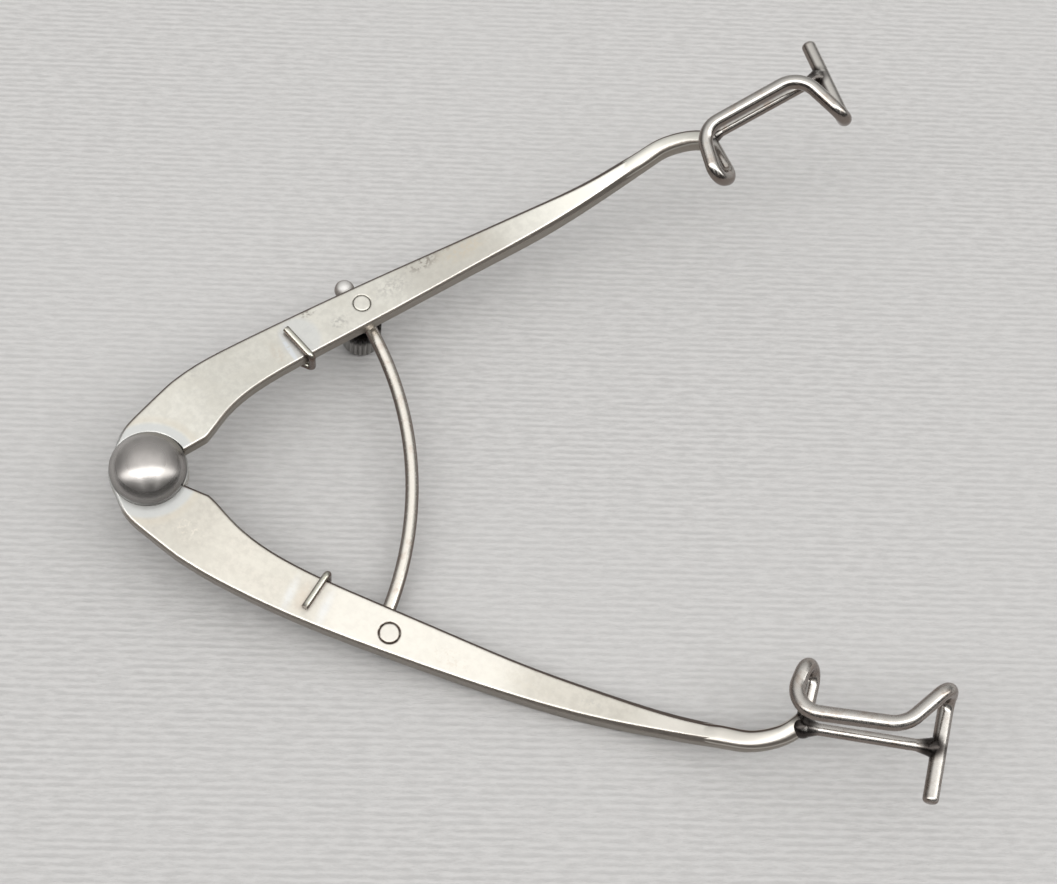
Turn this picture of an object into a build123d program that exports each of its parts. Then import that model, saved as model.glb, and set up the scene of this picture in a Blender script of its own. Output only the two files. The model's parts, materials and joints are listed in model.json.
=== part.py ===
from build123d import *
import math
import os

os.makedirs("parts", exist_ok=True)

# Wire eye speculum: two flat arms on one pivot, a torsion spring that spreads them,
# a curved bow that slides through a swivel post, and an open wire blade on each arm.
# Everything is drawn flat, in the instrument frame (pivot axis on Z, the arms' upper
# faces at Z = 0 by the pivot, +X between the arms), and laid down at the end.
# The arm is drawn once, for the lower arm: s runs along the chord from the pivot to the
# arm's end, v points inward, towards the other arm. The blades are bent by hand, so each
# has its own corners, in the same directions.

# opening and arms
OPEN_HALF = 28.0          # chord of each arm to the bisector, degrees
ROOT_THICK = 1.6          # arm thickness at the pivot
LAP_R = 3.85              # round end of each arm at the pivot
LAP_GAP = 0.08            # running gap of the half lap
ROOT_TURN = math.radians(232)  # where the outer edge leaves the round end
ROOT_SIDE = [(-0.4, -4.75), (2.4, -5.85)]
# middle line, width, upper face, thickness and bevel at stations along the arm, from
# the inner shoulder to the tip
ARM_S = [6.4, 7.4, 9.5, 13.0, 18.0, 25.0, 33.0, 41.0, 49.0, 56.0, 60.5, 62.4]
ARM_MID = [-3.45, -3.73, -4.35, -4.95, -5.2, -5.1, -4.84, -4.5, -3.9, -3.26, -2.82, -2.55]
ARM_WIDTH = [7.0, 6.78, 6.1, 5.3, 4.85, 4.55, 4.1, 3.5, 2.95, 2.25, 2.0, 1.74]
ARM_TOP = [0, -0.02, -0.2, -0.72, -1.4, -1.93, -2.32, -2.5, -2.05, -0.65, 1.12, 1.86]
ARM_THICK = [ROOT_THICK, 1.6, 1.6, 1.62, 1.65, 1.72, 1.85, 2.1, 2.3, 2.1, 2.0, 1.74]
ARM_BEVEL = [0.2, 0.2, 0.2, 0.2, 0.2, 0.2, 0.22, 0.26, 0.34, 0.44, 0.5, 0.5]
TIP_R = 0.95              # round tip of the arm, curled towards the blade
TIP_CURVE = [(59.5, -2.89, -0.28), (60.5, -2.82, 0.12), (63.3, -2.44, 1.45), (65.6, -1.2, 2.75)]
TIP_FROM = (1, 0.1, 0.4)
TIP_TOWARDS = (0.9, 1.8, 0.9)

# pivot
DOME_R = 3.72
DOME_H = 2.1
DOME_RIM = 0.75
PIN_R = 1.3
PIN_FIT = 0.05
SLEEVE_R = 1.75
SLEEVE_H = 2.05
WASHER_R = 2.9
WASHER_H = 0.5
TAIL_R = 2.0
TAIL_H = 0.45

# torsion spring
SPRING_R = 0.36
COIL_R = 2.25
COIL_PITCH = 0.84
HOOK_S = 20.0
HOOK_REACH = 4.0
SPRING_GAP = 0.08

# bow, its rivet, the swivel post and the thumb screw
RIVET_S = 27.7
RIVET_V = -5.2
BOW_R = 0.675
BOW_ARC_R = 37.5
BOW_EYE_OFFSET = 1.2      # bow's middle line passes this far inside the rivet's axis
BOW_BELOW = 0.24          # air between the arms' lower faces and the bow
BOW_PAST_POST = 3.3       # bow's stop ball, measured from the post's axis
BALL_R = 1.05
EYE_R = 1.5
EYE_H = 1.3
RIVET_HEAD_R = 1.0
RIVET_R = 0.65
RIVET_HEAD_H = 0.5
POST_HEAD_R = 0.88
POST_STEM_R = 0.6
POST_R = 1.45
POST_FLOOR = 0.85         # post below the bow's bore
SLIDE_FIT = 0.16          # play of the bow in the post
SCREW_R = 0.55
KNOB_R = 2.1
KNOB_H = 4.2
KNOB_NECK = 0.3
KNURLS = 24
KNURL_DEPTH = 0.22
HEAD_FIT = 0.04

# blades: corners (s, v, height) from the arm's tip, over the near hairpin, along the
# long bar and round the far hairpin to the free leg's end, with each bend's radius
BLADE_START = (66.94, 0.48, 3.86)
LOWER_CORNERS = [
    (66.3, 5.2, 4.3),
    (65.1, 5.15, 6.65),
    (64.8, 0.0, 7.05),
    (74.95, 1.95, 9.85),
    (77.95, 7.5, 9.85),
    (78.35, 6.45, 6.95),
    (79.76, -3.05, 6.75),
]
UPPER_CORNERS = [
    (66.05, 5.27, 4.25),
    (63.65, 5.37, 6.3),
    (65.3, 0.15, 7.15),
    (76.35, 1.35, 10.1),
    (77.65, 7.75, 9.75),
    (78.8, 6.9, 7.15),
    (81.2, -2.55, 7.0),
]
BLADE_BENDS = [1.42, 1.42, 2.4, 2.9, 1.5, 1.5]
BAR_SHIFT = (0.08, -0.48, -0.05)
LOWER_BAR_ON_LEG = 0.46
UPPER_BAR_ON_LEG = 0.58
WIRE_R = 0.74
BAR_R = 0.58
BRAZE_R = 1.1              # brazing at the arm's tip
BRAZE_END_R = 0.95         # brazing at the free leg, on the bar's side of it
BRAZE_BACK = 0.55
BRAZE_LENGTH = 1.5          # how far the brazing runs along the bar

# rest pose on a level surface, degrees
REST_ROLL = 8.13
REST_PITCH = 0.94


def lower(s, v, z=0.0):
    a = math.radians(OPEN_HALF)
    return (s * math.cos(a) + v * math.sin(a), v * math.cos(a) - s * math.sin(a), z)


def upper(s, v, z=0.0):
    x, y, _ = lower(s, v)
    return (x, -y, z)


def on_lower(shape):
    return Rot(0, 0, -OPEN_HALF) * shape


def on_upper(shape):
    return Rot(0, 0, OPEN_HALF) * mirror(shape, about=Plane.XZ)


def at(values, s):
    """Value of one of the arm's tables at s, along straight lines between stations."""
    for i in range(len(ARM_S) - 1):
        if s <= ARM_S[i + 1]:
            break
    t = (s - ARM_S[i]) / (ARM_S[i + 1] - ARM_S[i])
    return values[i] + t * (values[i + 1] - values[i])


def top_z(s):
    return at(ARM_TOP, s)


def under_z(s):
    return at(ARM_TOP, s) - at(ARM_THICK, s)


def inner_v(s):
    return at(ARM_MID, s) + at(ARM_WIDTH, s) / 2


def rod(points, radius, bends):
    """Round wire along straight runs joined by tangent arcs."""
    path = FilletPolyline(*points, radius=bends)
    start = path @ 0
    section = Plane(origin=start, z_dir=path % 0) * Circle(radius)
    return sweep(section, path=path)


# arm blank: a flat round end at the pivot, then bevelled sections lofted to the tip
stations = list(zip(ARM_S, ARM_MID, ARM_WIDTH, ARM_TOP, ARM_THICK, ARM_BEVEL))
sections = []
for s, mid, width, top, thick, bevel in stations:
    half = width / 2
    corner = [(mid + half, top - bevel), (mid + half - bevel, top)]
    corner += [(mid - half + bevel, top), (mid - half, top - bevel)]
    low = top - thick
    corner += [(mid - half, low + bevel), (mid - half + bevel, low)]
    corner += [(mid + half - bevel, low), (mid + half, low + bevel)]
    sections.append(Plane.YZ.offset(s) * make_face(Polyline(*corner, close=True)))
shaft = loft(sections)
root_s = ARM_S[0]
root_v = ARM_MID[0] - ARM_WIDTH[0] / 2
shoulder_v = ARM_MID[0] + ARM_WIDTH[0] / 2
root_at = (LAP_R * math.cos(ROOT_TURN), LAP_R * math.sin(ROOT_TURN))
plan = make_face(
    [
        Polyline(root_at, (0, shoulder_v), (root_s, shoulder_v), (root_s, root_v)),
        Spline(root_at, *ROOT_SIDE, (root_s, root_v), tangents=[(-root_at[1], root_at[0]), (1, -0.25)]),
    ]
)
root = extrude(plan + Circle(LAP_R), amount=-ROOT_THICK)
rim = root.edges().filter_by(Axis.Z, reverse=True)
rim = rim.filter_by(lambda e: e.center().X < root_s - 1.2)
root = chamfer(rim, ARM_BEVEL[0])
blank = root + shaft

# round tip, curled inward, on which the blade is brazed
tip_path = Spline(*TIP_CURVE, BLADE_START, tangents=[TIP_FROM, TIP_TOWARDS])
tip = sweep(Plane(origin=tip_path @ 0, z_dir=tip_path % 0) * Circle(TIP_R), path=tip_path)
blank = blank + tip

rivet_top = top_z(RIVET_S)
rivet_under = under_z(RIVET_S)
lap_z = -ROOT_THICK / 2


def hole(radius, low, high, s=0.0, v=0.0):
    return Pos(s, v, low) * extrude(Circle(radius), amount=high - low)


# each arm keeps one half of the thickness at the lap, and turns in the other's pocket
bore = hole(PIN_R + PIN_FIT, -5, 5)
pocket_low = hole(LAP_R + LAP_GAP, -5, lap_z + LAP_GAP / 2)
pocket_high = hole(LAP_R + LAP_GAP, lap_z - LAP_GAP / 2, 5)
rivet_seat = hole(RIVET_HEAD_R + HEAD_FIT, rivet_top - RIVET_HEAD_H, 5, RIVET_S, RIVET_V)
rivet_seat += hole(RIVET_R + HEAD_FIT, -10, 5, RIVET_S, RIVET_V)
post_seat = hole(POST_HEAD_R + HEAD_FIT, rivet_top - RIVET_HEAD_H, 5, RIVET_S, RIVET_V)
post_seat += hole(POST_STEM_R + HEAD_FIT, -10, 5, RIVET_S, RIVET_V)
lower_arm = on_lower(blank - bore - pocket_low - rivet_seat)
upper_arm = on_upper(blank - bore - pocket_high - post_seat)

# pivot: domed rivet, sleeve for the coil, washer under the coil
dome_ball_r = (DOME_R**2 + DOME_H**2) / (2 * DOME_H)
dome = Pos(0, 0, DOME_H + DOME_RIM - dome_ball_r) * Sphere(dome_ball_r)
dome &= Pos(0, 0, DOME_RIM) * extrude(Circle(DOME_R), amount=DOME_H)
dome += extrude(Circle(DOME_R), amount=DOME_RIM)
dome = Pos(0, 0, PIN_FIT) * dome
sleeve_top = -ROOT_THICK - LAP_GAP
washer_top = sleeve_top - SLEEVE_H - PIN_FIT
washer_low = washer_top - WASHER_H
pin = hole(PIN_R, washer_low - 0.02, PIN_FIT)
tail_ball_r = (TAIL_R**2 + TAIL_H**2) / (2 * TAIL_H)
tail = Pos(0, 0, washer_low - 0.02 - TAIL_H + tail_ball_r) * Sphere(tail_ball_r)
tail &= hole(TAIL_R, washer_low - 0.02 - TAIL_H, washer_low - 0.02)
pivot_rivet = dome + pin + tail
pivot_sleeve = hole(SLEEVE_R, sleeve_top - SLEEVE_H, sleeve_top)
pivot_sleeve -= hole(PIN_R + PIN_FIT, -9, 5)
pivot_washer = hole(WASHER_R, washer_low, washer_top)
pivot_washer = fillet(pivot_washer.edges().group_by(Axis.Z)[0], 0.18)
pivot_washer -= hole(PIN_R + PIN_FIT, -9, 5)

# torsion spring: hook over the upper arm, leg, coil, leg, hook over the lower arm
hook_v = inner_v(HOOK_S) + SPRING_R + SPRING_GAP
over_z = top_z(HOOK_S) + SPRING_R + SPRING_GAP
beneath_z = under_z(HOOK_S) - SPRING_R - 2 * SPRING_GAP
coil_top = sleeve_top - SPRING_R - 0.1
hook = [
    (HOOK_S - 0.6, inner_v(HOOK_S) - HOOK_REACH + 0.4, over_z + 0.05),
    (HOOK_S, hook_v, over_z),
    (HOOK_S, hook_v, beneath_z),
    (HOOK_S - 1.9, hook_v - 2.9, beneath_z),
]
leg_from = math.radians(90 + OPEN_HALF)
sweep_angle = 4 * math.pi - 2 * leg_from
coil_steps = 11
step = sweep_angle / coil_steps
corner_r = COIL_R / math.cos(step / 2)
coil = []
for i in range(coil_steps):
    a = leg_from + (i + 0.5) * step
    z = coil_top - COIL_PITCH * (i + 0.5) * step / (2 * math.pi)
    coil.append((corner_r * math.cos(a), corner_r * math.sin(a), z))
spring_points = [upper(*p) for p in hook] + coil + [lower(*p) for p in reversed(hook)]
spring_bends = [0.45, 0.45, 1.2] + [COIL_R * 0.97] * coil_steps + [1.2, 0.45, 0.45]
torsion_spring = rod(spring_points, SPRING_R, spring_bends)

# bow: an arc through the post's axis, past the rivet at its offset
bow_z = rivet_under - BOW_BELOW - BOW_R
post_x, post_y, _ = upper(RIVET_S, RIVET_V)
bow_cy = ((BOW_ARC_R + BOW_EYE_OFFSET) ** 2 - BOW_ARC_R**2) / (4 * post_y)
bow_cx = post_x - math.sqrt(BOW_ARC_R**2 - (post_y - bow_cy) ** 2)
eye_angle = math.degrees(math.atan2(-post_y - bow_cy, post_x - bow_cx))
post_angle = math.degrees(math.atan2(post_y - bow_cy, post_x - bow_cx))
end_angle = post_angle + math.degrees(BOW_PAST_POST / BOW_ARC_R)
bow_path = Pos(bow_cx, bow_cy, bow_z) * CenterArc((0, 0), BOW_ARC_R, eye_angle, end_angle - eye_angle)
bow = sweep(Plane(origin=bow_path @ 0, z_dir=bow_path % 0) * Circle(BOW_R), path=bow_path)
bow += Pos(post_x, -post_y, bow_z - EYE_H / 2) * extrude(Circle(EYE_R), amount=EYE_H)
bow -= Pos(post_x, -post_y, bow_z) * Cylinder(RIVET_R + HEAD_FIT, 6)
bow_end = bow_path @ 1
stop_ball = Pos(bow_end) * Sphere(BALL_R)
bow -= stop_ball

# rivet that carries the bow's eye
eye_low = bow_z - BOW_R - HEAD_FIT
bow_rivet = Pos(0, 0, rivet_top - RIVET_HEAD_H) * extrude(Circle(RIVET_HEAD_R), amount=RIVET_HEAD_H)
bow_rivet += hole(RIVET_R, eye_low, rivet_top - RIVET_HEAD_H / 2)
bow_rivet += hole(RIVET_HEAD_R + 0.15, eye_low - RIVET_HEAD_H, eye_low)
bow_rivet = Pos(post_x, -post_y, 0) * bow_rivet

# swivel post with the bow's cross bore, and the thumb screw that locks the bow
post_top = under_z(RIVET_S + POST_R) - LAP_GAP
post_low = bow_z - BOW_R - SLIDE_FIT - POST_FLOOR
swivel_post = Pos(0, 0, rivet_top - RIVET_HEAD_H) * extrude(Circle(POST_HEAD_R), amount=RIVET_HEAD_H)
swivel_post += hole(POST_STEM_R, post_top - 0.1, rivet_top - RIVET_HEAD_H / 2)
swivel_post += hole(POST_R, post_low, post_top)
swivel_post -= Pos(0, 0, bow_z) * Rot(0, 0, post_angle) * Rot(90, 0, 0) * Cylinder(BOW_R + SLIDE_FIT, 8)
swivel_post -= hole(SCREW_R + HEAD_FIT, post_low - 1, bow_z)
swivel_post = Pos(post_x, post_y, 0) * swivel_post

knob_top = post_low - KNOB_NECK
knob = hole(KNOB_R, knob_top - KNOB_H, knob_top)
knob = chamfer(knob.edges().group_by(Axis.Z)[-1], 0.25)
knob = fillet(knob.edges().group_by(Axis.Z)[0], 0.6)
groove = Pos(KNOB_R, 0, knob_top - KNOB_H / 2) * Rot(0, 0, 45) * Box(
    KNURL_DEPTH * math.sqrt(2), KNURL_DEPTH * math.sqrt(2), KNOB_H + 1
)
knob -= [Rot(0, 0, i * 360 / KNURLS) * groove for i in range(KNURLS)]
thumb_screw = knob + hole(SCREW_R, knob_top - 0.2, bow_z - BOW_R - HEAD_FIT)
thumb_screw = Pos(post_x, post_y, 0) * thumb_screw


def blade_wire(corners):
    """Blade of one round wire with a rounded free end."""
    wire = rod([BLADE_START] + corners, WIRE_R, BLADE_BENDS)
    free_end = wire.edges().filter_by(GeomType.CIRCLE).sort_by(Axis.Y)[0]
    return fillet(free_end, 0.42) - tip


def cross_bar(corners, on_leg, blade):
    """Straight bar with brazed ends, from the arm's tip to the blade's free leg."""
    leg_a = Vector(*corners[-2])
    leg_b = Vector(*corners[-1])
    bar_from = Vector(*BLADE_START) + Vector(*BAR_SHIFT)
    bar_to = leg_a + (leg_b - leg_a) * on_leg
    bar_axis = bar_to - bar_from
    bar_plane = Plane(origin=bar_from, z_dir=bar_axis)
    bar_len = bar_axis.length
    bar = bar_plane * extrude(Circle(BAR_R), amount=bar_len)
    for place, turn, radius in ((0, 0, BRAZE_R), (bar_len - BRAZE_BACK, 180, BRAZE_END_R)):
        flare = Pos(0, 0, BRAZE_LENGTH / 2) * Cone(radius, BAR_R, BRAZE_LENGTH) + Sphere(radius)
        bar += bar_plane * Pos(0, 0, place) * Rot(turn, 0, 0) * flare
    bar = bar - blade - tip - blank
    return bar.solids().sort_by(SortBy.VOLUME)[-1]


lower_blade = blade_wire(LOWER_CORNERS)
upper_blade = blade_wire(UPPER_CORNERS)
lower_bar = cross_bar(LOWER_CORNERS, LOWER_BAR_ON_LEG, lower_blade)
upper_bar = cross_bar(UPPER_CORNERS, UPPER_BAR_ON_LEG, upper_blade)

pieces = {
    "upper_arm": upper_arm,
    "lower_arm": lower_arm,
    "pivot_rivet": pivot_rivet,
    "pivot_sleeve": pivot_sleeve,
    "pivot_washer": pivot_washer,
    "torsion_spring": torsion_spring,
    "bow": bow,
    "bow_stop_ball": stop_ball,
    "bow_rivet": bow_rivet,
    "swivel_post": swivel_post,
    "thumb_screw": thumb_screw,
    "upper_blade": on_upper(upper_blade),
    "lower_blade": on_lower(lower_blade),
    "upper_cross_bar": on_upper(upper_bar),
    "lower_cross_bar": on_lower(lower_bar),
}

# laid down as it rests, on the thumb screw, the pivot and the lower arm
rest = Rot(REST_ROLL, 0, 0) * Rot(0, REST_PITCH, 0)
box = Compound(children=[rest * p for p in pieces.values()]).bounding_box()
rest = Pos(-box.center().X, -box.center().Y, -box.min.Z) * rest
for name, shape in pieces.items():
    export_step(rest * shape, "parts/" + name + ".step")

for name, point in (
    ("pivot", (0, 0, lap_z)),
    ("bow rivet", (post_x, -post_y, bow_z)),
    ("post", (post_x, post_y, bow_z)),
):
    print(name, (rest * Pos(point)).position)
print("axis", (rest * Pos(0, 0, 1)).position - (rest * Pos(0, 0, 0)).position)
print("size", box.size)
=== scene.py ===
import json
import math
import bpy
from mathutils import Euler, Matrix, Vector


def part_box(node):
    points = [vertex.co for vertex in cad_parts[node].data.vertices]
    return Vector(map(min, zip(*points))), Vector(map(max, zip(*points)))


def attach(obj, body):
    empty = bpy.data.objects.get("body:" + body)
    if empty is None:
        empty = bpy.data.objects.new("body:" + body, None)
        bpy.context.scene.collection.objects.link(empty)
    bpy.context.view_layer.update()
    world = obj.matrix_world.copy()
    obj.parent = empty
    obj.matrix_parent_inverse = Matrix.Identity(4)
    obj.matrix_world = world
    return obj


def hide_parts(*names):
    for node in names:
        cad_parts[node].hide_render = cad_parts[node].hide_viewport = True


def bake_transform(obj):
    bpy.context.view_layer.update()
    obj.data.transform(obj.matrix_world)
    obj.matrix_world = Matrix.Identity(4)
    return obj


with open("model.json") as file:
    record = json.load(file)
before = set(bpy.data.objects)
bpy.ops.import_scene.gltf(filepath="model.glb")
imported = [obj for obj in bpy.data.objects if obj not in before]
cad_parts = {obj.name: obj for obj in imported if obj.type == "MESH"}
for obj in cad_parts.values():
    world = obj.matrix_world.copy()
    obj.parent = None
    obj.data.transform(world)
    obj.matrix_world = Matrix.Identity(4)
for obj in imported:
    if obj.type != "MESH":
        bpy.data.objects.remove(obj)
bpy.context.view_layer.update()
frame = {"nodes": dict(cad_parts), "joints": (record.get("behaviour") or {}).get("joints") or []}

# The instrument as it lies, in the frame of the CAD model, in metres. Points on an arm are
# given by s along it, v across it and a height over its face at the pivot, in mm.
MM = 0.001
JOINTS = {j["name"]: j for j in frame["joints"]}
PIVOT = Vector(JOINTS["arm_hinge"]["pos_m"])
REST_ROLL = math.radians(8.13)
REST_PITCH = math.radians(0.94)
LIE = Euler((REST_ROLL, 0, 0)).to_matrix() @ Euler((0, REST_PITCH, 0)).to_matrix()
UP = LIE @ Vector((0, 0, 1))
ARM_ANGLE = math.radians(28.0)
SIDES = {"upper": 1, "lower": -1}
LAP_TOP = 0.8
# Height over the pivot of the middle of the painted reflection ring round the dome
DOME_REFLECTION_FROM = 0.8 * MM
RIVET_AT = (27.7, -5.2)

# Camera: the photograph's viewpoint, with its lens for a 36 mm wide frame.
CAMERA_AT = (-0.018043, -0.096756, 0.179604)
CAMERA_TURN = (30.1277, -3.0371, -6.5701)
CAMERA_LENS = 68.118

# Card and room: how bright the north, the south, the strip and the two bars are.
FLOOR_COLOR = (0.585, 0.583, 0.583, 1)
NORTH_LEVEL = 1.15
SOUTH_LEVEL = 0.10
STRIP_LEVEL = 3.0
BARS_LEVEL = 1.6
RIBS_TURN = math.radians(6.5)
RIB_PITCH = 0.00076

# Middle of each arm's neck from the bevelled bar to the blade, as (s, v, height), in mm;
# the first and the last point only give the direction there
NECK_LINE = [
    (49.0, -3.90, -3.20),
    (57.0, -3.17, -1.32),
    (60.5, -2.82, 0.12),
    (63.3, -2.44, 1.45),
    (65.6, -1.20, 2.75),
    (66.94, 0.48, 3.86),
    (67.6, 1.9, 4.3),
]
# Half width, half height and squareness of the section at the five points between
NECK_SECTIONS = [
    (0.99, 0.94, 3.0),
    (1.035, 1.03, 3.0),
    (0.985, 0.985, 2.9),
    (0.98, 0.98, 2.6),
    (0.975, 0.975, 2.4),
]
NECK_STEPS = 14
NECK_SIDES = 48


def arm_axes(side):
    """Directions along an arm, across it towards the other arm, and up, as it lies."""
    sign = SIDES[side]
    along = Vector((math.cos(ARM_ANGLE), sign * math.sin(ARM_ANGLE), 0))
    inward = Vector((math.sin(ARM_ANGLE), -sign * math.cos(ARM_ANGLE), 0))
    return LIE @ along, LIE @ inward, UP


def on_arm(side, s, v, z=0.0):
    along, inward, up = arm_axes(side)
    return PIVOT + (along * s + inward * v + up * (z + LAP_TOP)) * MM


class Nodes:
    """Short calls for building a material's nodes."""

    def __init__(self, tree):
        self.tree = tree

    def add(self, kind, inputs=None, **settings):
        node = self.tree.nodes.new(kind)
        for name, value in settings.items():
            setattr(node, name, value)
        for name, value in (inputs or {}).items():
            self.put(node.inputs[name], value)
        return node

    def put(self, socket, value):
        if isinstance(value, bpy.types.NodeSocket):
            self.tree.links.new(value, socket)
        else:
            socket.default_value = value

    def mix(self, factor, a, b):
        node = self.add("ShaderNodeMix", data_type="RGBA")
        self.put(node.inputs[0], factor)
        self.put(node.inputs[6], a)
        self.put(node.inputs[7], b)
        return node.outputs[2]

    def math(self, operation, a, b=0.0):
        node = self.add("ShaderNodeMath", operation=operation)
        self.put(node.inputs[0], a)
        self.put(node.inputs[1], b)
        return node.outputs[0]

    def ramp(self, value, low, high, to_low=0.0, to_high=1.0):
        """Smooth step of a value between two limits."""
        node = self.add("ShaderNodeMapRange", interpolation_type="SMOOTHSTEP")
        self.put(node.inputs["Value"], value)
        self.put(node.inputs["From Min"], low)
        self.put(node.inputs["From Max"], high)
        self.put(node.inputs["To Min"], to_low)
        self.put(node.inputs["To Max"], to_high)
        return node.outputs["Result"]

    def place(self, side="upper", stretch=(1, 1, 1)):
        """Millimetres along an arm, across it and up from its upper face at the pivot."""
        where = self.add("ShaderNodeTexCoord").outputs["Object"]
        start = tuple(on_arm(side, 0, 0))
        moved = self.add("ShaderNodeVectorMath", {0: where, 1: start}, operation="SUBTRACT")
        place = self.add("ShaderNodeCombineXYZ")
        for i, axis in enumerate(arm_axes(side)):
            part = self.along(moved.outputs[0], axis * 1000 * stretch[i])
            self.put(place.inputs[i], part)
        return place.outputs[0]

    def along(self, vector, axis):
        return self.add(
            "ShaderNodeVectorMath", {0: vector, 1: tuple(axis)}, operation="DOT_PRODUCT"
        ).outputs["Value"]

    def facing(self, axis):
        """Cosine between the surface and a direction fixed on the instrument."""
        return self.along(self.add("ShaderNodeTexCoord").outputs["Normal"], axis)

    def noise(self, vector, scale, detail=3.0, roughness=0.55):
        node = self.add(
            "ShaderNodeTexNoise",
            {"Vector": vector, "Scale": scale, "Detail": detail, "Roughness": roughness},
        )
        return node.outputs["Fac"]

    def distance(self, point):
        where = self.add("ShaderNodeTexCoord").outputs["Object"]
        node = self.add("ShaderNodeVectorMath", {0: where, 1: tuple(point)}, operation="DISTANCE")
        return node.outputs["Value"]

    def patch(self, place, at, size, soft=0.5):
        """One inside an ellipse on an arm, fading to nothing at its edge."""
        moved = self.add("ShaderNodeVectorMath", {0: place, 1: (*at, 0)}, operation="SUBTRACT")
        scaled = self.add(
            "ShaderNodeVectorMath",
            {0: moved.outputs[0], 1: (1 / size[0], 1 / size[1], 0)},
            operation="MULTIPLY",
        )
        reach = self.add("ShaderNodeVectorMath", {0: scaled.outputs[0]}, operation="LENGTH")
        return self.ramp(reach.outputs["Value"], 1 - soft, 1, 1, 0)

    def ring(self, place, at, radius, width):
        """One on a circle round a point of an arm."""
        moved = self.add("ShaderNodeVectorMath", {0: place, 1: (*at, 0)}, operation="SUBTRACT")
        flat = self.add(
            "ShaderNodeVectorMath", {0: moved.outputs[0], 1: (1, 1, 0)}, operation="MULTIPLY"
        )
        reach = self.add("ShaderNodeVectorMath", {0: flat.outputs[0]}, operation="LENGTH")
        off = self.math("ABSOLUTE", self.math("SUBTRACT", reach.outputs["Value"], radius))
        return self.ramp(off, width * 0.3, width, 1, 0)

    def rounded(self, radius):
        """Normal with softened edges, a mask close to any edge, and one for north edges."""
        edge = self.add("ShaderNodeBevel", {"Radius": radius}, samples=8).outputs[0]
        true_normal = self.add("ShaderNodeNewGeometry").outputs["True Normal"]
        close = self.add("ShaderNodeVectorMath", {0: edge, 1: true_normal}, operation="DOT_PRODUCT")
        lean = self.add("ShaderNodeVectorMath", {0: edge, 1: true_normal}, operation="SUBTRACT")
        north = self.ramp(self.along(lean.outputs[0], (0, 1, 0)), 0.02, 0.10)
        return edge, self.ramp(close.outputs["Value"], 0.998, 0.955), north

    def relief(self, height, strength, distance, normal=None):
        bump = self.add(
            "ShaderNodeBump", {"Height": height, "Strength": strength, "Distance": distance}
        )
        if normal:
            self.put(bump.inputs["Normal"], normal)
        return bump.outputs[0]


def material(name):
    made = bpy.data.materials.new(name)
    made.use_nodes = True
    nodes = Nodes(made.node_tree)
    shader = made.node_tree.nodes["Principled BSDF"]
    shader.inputs["Metallic"].default_value = 1.0
    return made, nodes, shader


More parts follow.
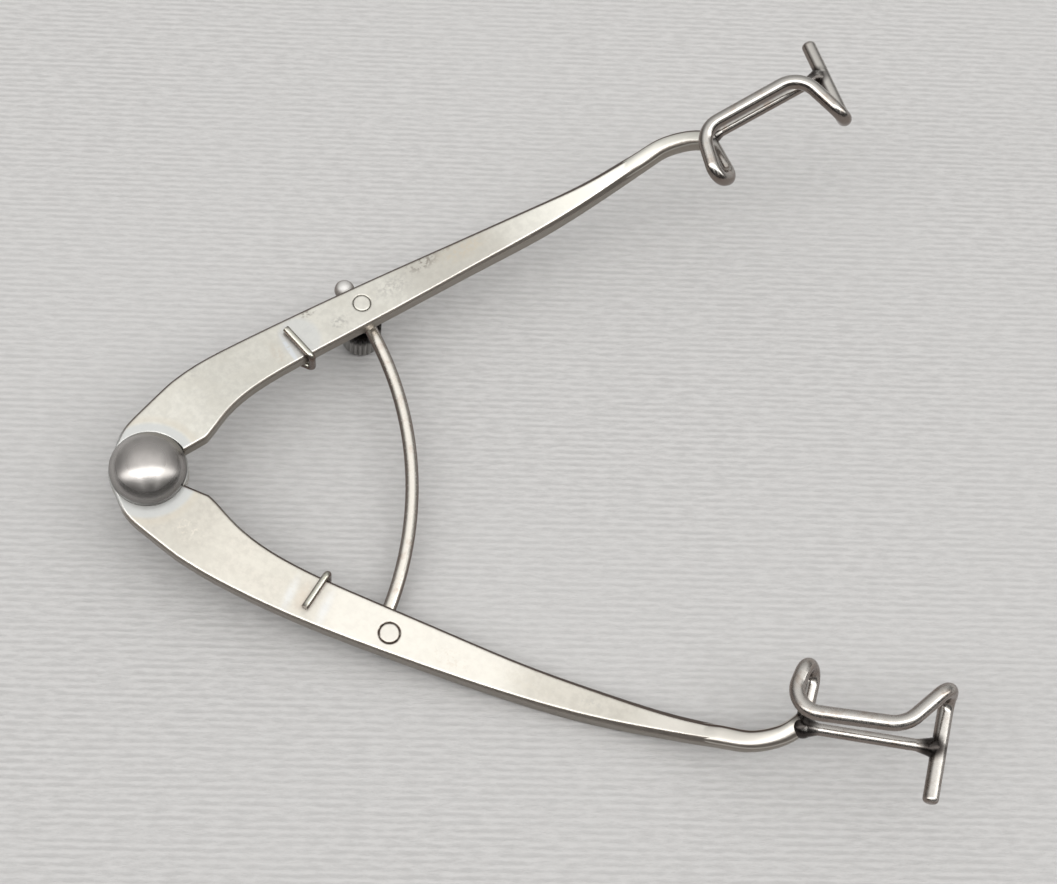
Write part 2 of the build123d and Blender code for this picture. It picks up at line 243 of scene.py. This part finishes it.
def arm_steel(name, side, tone, bands, marks, rings):
    """Flat of an arm: warm mottled satin, a painted reflection round the dome and painted
    reflections by the spring hooks, painted shade on the walls, the chamfers and the north top
    edges, and a painted highlight on the other top edges.
    """
    made, n, shader = material(name)
    place = n.place(side)
    grain = n.noise(n.place(side, (0.5, 3.0, 1.0)), 2.2, 4.0)
    mottle = n.noise(place, 1.5, 3.0, 0.6)
    cloud = n.noise(n.place(side, (1.0, 1.5, 1.0)), 0.28, 2.0)
    speck = n.noise(place, 2.6, 3.0, 0.6)
    color = n.mix(n.ramp(mottle, 0.34, 0.66), tone, [c * 0.90 for c in tone[:3]] + [1])
    color = n.mix(n.ramp(cloud, 0.46, 0.62, 0.0, 0.4), color, (0.64, 0.625, 0.565, 1))
    along_arm = n.add("ShaderNodeSeparateXYZ", {0: place}).outputs[0]
    for rise, fall, tint, strength in bands:
        band = n.math("MULTIPLY", n.ramp(along_arm, *rise), n.ramp(along_arm, *reversed(fall)))
        color = n.mix(n.math("MULTIPLY", band, strength), color, tint)
    # Painted reflection of the dome: a bluish-grey ring round it on the arm, with a tan outer rim
    reach = n.distance(PIVOT + UP * DOME_REFLECTION_FROM)
    dome_reflection = n.math("SUBTRACT", n.ramp(reach, 0.0036, 0.0038), n.ramp(reach, 0.0047, 0.0051))
    color = n.mix(n.math("MULTIPLY", dome_reflection, 0.7), color, (0.585, 0.61, 0.62, 1))
    dome_reflection_rim = n.math("SUBTRACT", n.ramp(reach, 0.0050, 0.0052), n.ramp(reach, 0.0053, 0.0060))
    color = n.mix(n.math("MULTIPLY", dome_reflection_rim, 0.35), color, (0.62, 0.57, 0.48, 1))
    for at, size, soft, low, high, tint, strength in marks:
        spots = n.ramp(speck, low, high, 0, strength)
        amount = n.math("MULTIPLY", n.patch(place, at, size, soft), spots)
        color = n.mix(amount, color, tint)
    for at, radius, width, tint, strength in rings:
        around = n.ring(place, at, radius, width)
        broken = n.ramp(mottle, 0.35, 0.55, strength * 0.55, strength)
        color = n.mix(n.math("MULTIPLY", around, broken), color, tint)
    joint = n.ramp(n.distance(on_arm(side, *NECK_LINE[-2])), 0.0009, 0.0015, 0.85, 0.0)
    color = n.mix(joint, color, (0.06, 0.05, 0.045, 1))
    facing = n.facing(UP)
    far_side = n.ramp(n.facing(Vector((0, 1, 0))), 0.15, 0.45)
    near_side = n.ramp(n.facing(Vector((0, -1, 0))), 0.30, 0.50)
    normal, close, north = n.rounded(0.00032)
    # Painted shade: the walls darker by which way they face, darkest on the near side, and the
    # chamfers darkened, darkest on the far side
    painted_wall_shade = n.mix(near_side, (0.54, 0.52, 0.48, 1), (0.31, 0.28, 0.245, 1))
    color = n.mix(n.ramp(facing, 0.62, 0.30), color, painted_wall_shade)
    chamfer = n.math("MULTIPLY", n.ramp(facing, 0.90, 0.80), n.ramp(facing, 0.45, 0.60))
    color = n.mix(n.math("MULTIPLY", chamfer, far_side), color, (0.13, 0.10, 0.085, 1))
    color = n.mix(n.math("MULTIPLY", chamfer, near_side), color, (0.30, 0.27, 0.24, 1))
    close = n.math("MULTIPLY", close, n.ramp(along_arm, 60, 57))
    off_rivet = n.math("SUBTRACT", 1.0, n.patch(place, RIVET_AT, (1.7, 1.7), 0.15))
    close = n.math("MULTIPLY", close, off_rivet)
    on_top = n.math("MULTIPLY", close, n.ramp(facing, 0.90, 0.96))
    lit = n.math("MULTIPLY", on_top, n.math("SUBTRACT", 1.0, north))
    color = n.mix(n.math("MULTIPLY", lit, 0.5), color, (0.93, 0.92, 0.88, 1))
    shaded = n.math("MULTIPLY", on_top, north)
    color = n.mix(n.math("MULTIPLY", shaded, 0.75), color, (0.24, 0.19, 0.16, 1))
    n.put(shader.inputs["Base Color"], color)
    rough = n.ramp(grain, 0.3, 0.7, 0.36, 0.46)
    n.put(shader.inputs["Roughness"], n.math("SUBTRACT", rough, n.math("MULTIPLY", close, 0.18)))
    n.put(shader.inputs["Normal"], n.relief(grain, 0.10, 0.00002, normal))
    return made


def wire_steel(name, bright, film_tint, rough, joints_and_shade=(), edge=0.0):
    """Polished round wire with a brown film in places, dark brazing by the joints, painted shade
    near other given points, and painted shade on its flanks.
    """
    made, n, shader = material(name)
    place = n.place()
    film = n.noise(place, 0.7, 4.0, 0.6)
    fine = n.noise(place, 4.0, 3.0)
    color = n.mix(n.ramp(film, 0.48, 0.72, 0.0, 0.7), bright, film_tint)
    if edge:
        # Painted shade on the wire's flanks that face away from up
        side = n.ramp(n.facing(UP), 0.90, 0.52, 0.0, edge)
        color = n.mix(side, color, (0.175, 0.135, 0.115, 1))
    # Darkening near given points: dark brazing at the joints, painted shade at the others
    for at, low, high, tint, strength in joints_and_shade:
        near = n.ramp(n.distance(at), low, high, strength, 0.0)
        color = n.mix(n.math("MULTIPLY", near, n.ramp(film, 0.22, 0.42)), color, tint)
    n.put(shader.inputs["Base Color"], color)
    n.put(shader.inputs["Roughness"], n.ramp(fine, 0.3, 0.7, rough - 0.04, rough + 0.06))
    n.put(shader.inputs["Normal"], n.relief(film, 0.06, 0.00004))
    return made


def turned_steel(name, bright, dark, rough, flank_shade, wall_shade_tint, shade_from=None):
    """Turned part: fine rings round its axis and a soft cloud, painted shade on its flanks and
    walls, and, when a height is given, near-black painted shade above it.
    """
    made, n, shader = material(name)
    rings = n.add("ShaderNodeTexNoise", {"Scale": 9000.0, "Detail": 2.0}, noise_dimensions="1D")
    n.put(rings.inputs["W"], n.distance(PIVOT))
    cloud = n.noise(n.place(), 0.33, 3.0)
    color = n.mix(n.ramp(cloud, 0.4, 0.65), bright, dark)
    # Painted shade: flanks darker, walls darker still, by which way they face
    side = n.ramp(n.facing(UP), 0.70, 0.46)
    color = n.mix(side, color, [c * flank_shade for c in dark[:3]] + [1])
    shaded_wall = n.ramp(n.facing(UP), 0.42, 0.25)
    color = n.mix(shaded_wall, color, wall_shade_tint)
    # Painted shade: near black above a given height, where the knob meets the arm's underside
    if shade_from:
        height = n.along(n.add("ShaderNodeTexCoord").outputs["Object"], (0, 0, 1))
        top_shade = n.ramp(height, shade_from, shade_from + 0.9 * MM)
        color = n.mix(top_shade, color, (0.025, 0.022, 0.02, 1))
    n.put(shader.inputs["Base Color"], color)
    turned = rings.outputs["Fac"]
    n.put(shader.inputs["Roughness"], n.ramp(turned, 0.3, 0.7, rough - 0.03, rough + 0.05))
    n.put(shader.inputs["Normal"], n.relief(turned, 0.06, 0.00001))
    return made


def dress(node, made):
    for slot in frame["nodes"][node].material_slots:
        slot.material = made


# Blue-grey and pale blue: painted reflections of the spring hooks on the arms
REFLECTED_BLUE_GREY = (0.63, 0.655, 0.67, 1)
REFLECTED_PALE_BLUE = (0.74, 0.78, 0.83, 1)
TAN = (0.60, 0.53, 0.45, 1)
GREY = (0.50, 0.49, 0.46, 1)
PIT = (0.16, 0.13, 0.11, 1)
BLACK_BRAZE = (0.035, 0.03, 0.028, 1)

UPPER_TONE = (0.72, 0.71, 0.655, 1)
LOWER_TONE = (0.625, 0.602, 0.545, 1)
WIRE_TONES = (("upper", (0.50, 0.485, 0.46, 1), 0.20), ("lower", (0.60, 0.58, 0.55, 1), 0.25))
WIRE_FILM = (0.40, 0.33, 0.28, 1)
KNOB_GREY = (0.40, 0.39, 0.375, 1)
# Height of the knob's lower part that is left out of the painted shade
KNOB_UNSHADED = 2.4 * MM
# Marks on the arms: middle (s, v), half sizes, softness, noise limits, tint, strength
UPPER_MARKS = [
    # The first two marks: painted reflections of the spring hook
    ((20.2, -5.0), (2.4, 2.7), 0.3, 0.10, 0.30, REFLECTED_BLUE_GREY, 0.5),
    ((18.6, -4.2), (0.35, 2.6), 0.6, 0.30, 0.50, REFLECTED_PALE_BLUE, 0.7),
    ((17.3, -4.4), (0.8, 2.2), 0.9, 0.35, 0.60, TAN, 0.45),
    ((35.6, -6.0), (2.8, 1.1), 0.8, 0.46, 0.60, PIT, 0.6),
    ((38.9, -6.2), (1.6, 0.6), 0.8, 0.46, 0.62, PIT, 0.5),
    ((22.4, -7.0), (1.1, 0.5), 0.5, 0.47, 0.58, PIT, 0.5),
    ((24.6, -4.5), (1.7, 1.0), 0.8, 0.45, 0.60, GREY, 0.9),
    ((31.6, -5.3), (3.6, 1.8), 0.9, 0.40, 0.62, GREY, 0.8),
    ((40.0, -5.2), (4.5, 1.6), 0.9, 0.40, 0.62, (0.58, 0.53, 0.44, 1), 0.8),
    ((8.5, -6.6), (1.6, 1.2), 0.9, 0.46, 0.60, GREY, 0.35),
]
LOWER_MARKS = [
    # The first two marks: painted reflections of the spring hook
    ((21.1, -5.6), (0.75, 3.2), 1.0, 0.15, 0.50, REFLECTED_PALE_BLUE, 0.4),
    ((17.5, -5.6), (0.7, 3.0), 1.0, 0.15, 0.50, REFLECTED_PALE_BLUE, 0.4),
    ((18.7, -5.4), (0.9, 2.4), 0.9, 0.20, 0.50, TAN, 0.6),
    ((6.2, -4.0), (2.4, 1.8), 0.9, 0.50, 0.68, (0.85, 0.80, 0.71, 1), 0.5),
    ((34.0, -5.2), (3.0, 1.5), 0.9, 0.50, 0.62, TAN, 0.35),
    ((48.0, -4.0), (2.0, 0.9), 0.8, 0.50, 0.58, GREY, 0.5),
    ((42.0, -4.3), (6.0, 1.6), 0.9, 0.42, 0.64, (0.60, 0.57, 0.50, 1), 0.4),
]
# Bands along the arms that darken or lighten the colour: s where each sets in and fades out, tint,
# strength
UPPER_BANDS = [
    ((31, 35), (42, 47), (0.42, 0.40, 0.36, 1), 0.45),
    ((45, 53), (80, 90), (0.90, 0.89, 0.83, 1), 0.6),
]
LOWER_BANDS = [
    ((19, 23), (38, 43), (1.0, 0.98, 0.92, 1), 0.35),
    ((51, 57), (80, 90), (0.95, 0.92, 0.86, 1), 0.6),
]
# Line round each rivet's head: middle (s, v), radius, width, tint, strength
UPPER_RINGS = [(RIVET_AT, 0.90, 0.13, (0.38, 0.35, 0.30, 1), 0.6)]
LOWER_RINGS = [(RIVET_AT, 1.02, 0.20, (0.13, 0.09, 0.07, 1), 0.95)]


def dress_all():
    upper_look = ("upper", UPPER_TONE, UPPER_BANDS, UPPER_MARKS, UPPER_RINGS)
    upper = arm_steel("upper_arm_steel", *upper_look)
    lower = arm_steel("lower_arm_steel", "lower", LOWER_TONE, LOWER_BANDS, LOWER_MARKS, LOWER_RINGS)
    dress("upper_arm", upper)
    dress("lower_arm", lower)
    neck_skin("upper", upper)
    neck_skin("lower", lower)
    dress("bow_rivet", lower)
    brazed = [
        (on_arm("lower", 66.95, 0.1, 3.8), 0.0011, 0.0020, BLACK_BRAZE, 0.97),
        (on_arm("lower", 78.5, 2.0, 6.7), 0.0010, 0.0017, BLACK_BRAZE, 0.97),
        (on_arm("upper", 67.1, 0.1, 3.8), 0.0008, 0.0016, BLACK_BRAZE, 0.9),
        (on_arm("upper", 79.6, 1.4, 6.9), 0.0009, 0.0015, BLACK_BRAZE, 0.9),
    ]
    for side, bright, rough in WIRE_TONES:
        wire = wire_steel(side + "_wire_steel", bright, WIRE_FILM, rough, brazed, 0.8)
        dress(side + "_blade", wire)
        dress(side + "_cross_bar", wire)
    # Painted shade on the bow by its eye, so the eye sinks into the shadow under the arm
    eye_shade = [(Vector(JOINTS["bow_hinge"]["pos_m"]), 0.0024, 0.0034, (0.10, 0.09, 0.08, 1), 0.85)]
    bow = wire_steel("bow_steel", (0.84, 0.805, 0.74, 1), (0.65, 0.55, 0.48, 1), 0.22, eye_shade, 1.0)
    dress("bow", bow)
    ball = wire_steel("ball_steel", (0.76, 0.755, 0.74, 1), (0.68, 0.67, 0.65, 1), 0.65, (), 0.7)
    dress("bow_stop_ball", ball)
    dress("swivel_post", arm_steel("post_steel_top", *upper_look))
    # Painted shade on the spring wire where it goes into each arm
    entry_shade = [
        (on_arm("upper", 19.4, -7.0, -1.0), 0.0006, 0.0011, (0.10, 0.09, 0.08, 1), 0.85),
        (on_arm("lower", 19.4, -7.0, -1.0), 0.0007, 0.0012, (0.12, 0.10, 0.09, 1), 0.85),
    ]
    spring_film = (0.34, 0.32, 0.26, 1)
    spring = wire_steel("spring_steel", (0.58, 0.575, 0.51, 1), spring_film, 0.26, entry_shade, 1.0)
    spring_wire(spring)
    dome_cloud = (0.44, 0.425, 0.41, 1)
    # Near-black painted shade on the dome's walls
    dome_wall_shade = (0.045, 0.04, 0.036, 1)
    dome = turned_steel("dome_steel", (0.50, 0.48, 0.465, 1), dome_cloud, 0.27, 0.5, dome_wall_shade)
    for node in ("pivot_rivet", "pivot_sleeve", "pivot_washer"):
        dress(node, dome)
    # Painted shade on the knob's top, from this height up
    shade_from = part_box("thumb_screw")[0][2] + KNOB_UNSHADED
    knurl_look = ((0.46, 0.45, 0.44, 1), KNOB_GREY, 0.4, 0.95, KNOB_GREY)
    dress("thumb_screw", turned_steel("knurled_steel", *knurl_look, shade_from))


def smooth_step(before, here, after, beyond, t):
    """Point between two places on a line that runs smoothly through four."""
    return 0.5 * (
        2 * here
        + (after - before) * t
        + (2 * before - 5 * here + 4 * after - beyond) * t**2
        + (3 * here - before - 3 * after + beyond) * t**3
    )


def neck_skin(side, made):
    """Finished surface of the neck: one smooth bar from the arm to the blade's brazing."""
    line = [on_arm(side, *place) for place in NECK_LINE]
    middles = []
    sizes = []
    for i in range(1, len(line) - 2):
        for step in range(NECK_STEPS):
            t = step / NECK_STEPS
            middles.append(smooth_step(*line[i - 1 : i + 3], t))
            pair = zip(NECK_SECTIONS[i - 1], NECK_SECTIONS[i])
            sizes.append([a + (b - a) * t for a, b in pair])
    middles.append(line[-2])
    sizes.append(NECK_SECTIONS[-1])
    points = []
    for i, (middle, (wide, high, square)) in enumerate(zip(middles, sizes)):
        ahead = (middles[min(i + 1, len(middles) - 1)] - middles[max(i - 1, 0)]).normalized()
        across = UP.cross(ahead).normalized()
        above = ahead.cross(across)
        for k in range(NECK_SIDES):
            turn = 2 * math.pi * k / NECK_SIDES
            c, d = math.cos(turn), math.sin(turn)
            reach = (abs(c) ** square + abs(d) ** square) ** (-1 / square)
            out = across * (c * reach * wide) + above * (d * reach * high)
            points.append(middle + out * MM)
    faces = []
    for i in range(len(middles) - 1):
        for k in range(NECK_SIDES):
            j = (k + 1) % NECK_SIDES
            row, after = i * NECK_SIDES, (i + 1) * NECK_SIDES
            faces.append((row + k, row + j, after + j, after + k))
    faces.append(tuple(reversed(range(NECK_SIDES))))
    last = (len(middles) - 1) * NECK_SIDES
    faces.append(tuple(last + k for k in range(NECK_SIDES)))
    mesh = bpy.data.meshes.new(side + "_neck_skin")
    mesh.from_pydata([tuple(p) for p in points], [], faces)
    for polygon in mesh.polygons:
        polygon.use_smooth = True
    mesh.materials.append(made)
    piece = bpy.data.objects.new(side + "_neck_skin", mesh)
    bpy.context.collection.objects.link(piece)
    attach(piece, side + "_arm_body")


def spring_wire(made):
    """The spring's wire: a copy of the spring's own mesh in the given material, shown in place of
    the part.
    """
    mesh = frame["nodes"]["torsion_spring"].data.copy()
    mesh.materials.clear()
    mesh.materials.append(made)
    piece = bpy.data.objects.new("spring_wire", mesh)
    bpy.context.collection.objects.link(piece)
    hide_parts("torsion_spring")
    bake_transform(piece)


def add_floor():
    """Pale ribbed card under the instrument."""
    bpy.ops.mesh.primitive_plane_add(size=3.0, location=(0, 0, 0))
    floor = bpy.context.object
    floor.name = "floor"
    made = bpy.data.materials.new("floor")
    made.use_nodes = True
    n = Nodes(made.node_tree)
    shader = made.node_tree.nodes["Principled BSDF"]
    where = n.add("ShaderNodeTexCoord").outputs["Object"]
    turned = n.add("ShaderNodeMapping", {"Vector": where, "Rotation": (0, 0, RIBS_TURN)}).outputs[0]
    streaks = n.add("ShaderNodeMapping", {"Vector": turned, "Scale": (0.24, 1.0, 1.0)}).outputs[0]
    fibre = n.noise(streaks, 2300, 4.0, 0.65)
    across = n.add("ShaderNodeSeparateXYZ", {0: turned}).outputs[1]
    rows = n.math("SINE", n.math("MULTIPLY", across, 2 * math.pi / RIB_PITCH))
    rows = n.math("MULTIPLY", rows, n.ramp(n.noise(streaks, 700, 2.0), 0.3, 0.65, 0.02, 0.16))
    weave = n.math("ADD", fibre, rows)
    drift = n.noise(where, 25, 2.0)
    color = n.mix(n.ramp(weave, 0.27, 0.72), [c * 0.82 for c in FLOOR_COLOR[:3]] + [1], FLOOR_COLOR)
    color = n.mix(n.ramp(drift, 0.35, 0.65, 0.0, 0.25), color, (0.55, 0.55, 0.55, 1))
    n.put(shader.inputs["Base Color"], color)
    shader.inputs["Roughness"].default_value = 0.9
    shader.inputs["Specular IOR Level"].default_value = 0.1
    n.put(shader.inputs["Normal"], n.relief(weave, 0.5, 0.0003))
    floor.data.materials.append(made)


def add_world():
    """Room light by direction: a pale ceiling to the north, a bright strip a little south of
    overhead, and a dark south where the viewer stands."""
    world = bpy.data.worlds.new("room")
    bpy.context.scene.world = world
    world.use_nodes = True
    n = Nodes(world.node_tree)
    back = world.node_tree.nodes["Background"]
    part = n.add("ShaderNodeSeparateXYZ", {0: n.add("ShaderNodeTexCoord").outputs["Generated"]})
    x, y, z = (part.outputs[i] for i in range(3))
    north = n.math("MULTIPLY", n.math("ARCTAN2", y, z), 180 / math.pi)
    east = n.math("MULTIPLY", n.math("ARCTAN2", x, z), 180 / math.pi)
    base = n.math(
        "MULTIPLY", n.ramp(north, -38, 4, SOUTH_LEVEL, NORTH_LEVEL), n.ramp(north, 55, 5, 0.5, 1.0)
    )
    base = n.math("MULTIPLY", base, n.ramp(north, 100, 50, 0.6, 1.0))
    base = n.math("MULTIPLY", base, n.ramp(n.math("ABSOLUTE", x), 0.98, 0.45, 0.35, 1.0))
    strip = n.math("MULTIPLY", n.ramp(north, -42, -27), n.ramp(north, -2, -17))
    strip = n.math("MULTIPLY", strip, n.ramp(n.math("ABSOLUTE", east), 86, 62))
    bars = n.math(
        "ADD",
        n.ramp(n.math("ABSOLUTE", n.math("SUBTRACT", east, -24)), 5, 1),
        n.ramp(n.math("ABSOLUTE", n.math("SUBTRACT", east, 34)), 5, 1),
    )
    low_south = n.math("MULTIPLY", n.ramp(north, -72, -55), n.ramp(north, -20, -30))
    bars = n.math("MULTIPLY", bars, low_south)
    level = n.math("ADD", base, n.math("MULTIPLY", strip, STRIP_LEVEL))
    level = n.math("ADD", level, n.math("MULTIPLY", bars, BARS_LEVEL))
    seen = n.add("ShaderNodeLightPath").outputs["Is Camera Ray"]
    grey = n.add("ShaderNodeCombineColor")
    for channel, share in (("Red", 1.0), ("Green", 0.985), ("Blue", 0.965)):
        n.put(grey.inputs[channel], n.math("MULTIPLY", level, share))
    n.put(back.inputs["Color"], n.mix(seen, grey.outputs[0], FLOOR_COLOR))


def add_camera():
    data = bpy.data.cameras.new("camera")
    data.lens = CAMERA_LENS
    data.sensor_width = 36.0
    data.clip_start = 0.001
    camera = bpy.data.objects.new("camera", data)
    camera.location = CAMERA_AT
    camera.rotation_euler = Euler([math.radians(a) for a in CAMERA_TURN])
    bpy.context.collection.objects.link(camera)
    bpy.context.scene.camera = camera


dress_all()
add_floor()
add_world()
add_camera()
bpy.context.scene.view_settings.view_transform = "Standard"
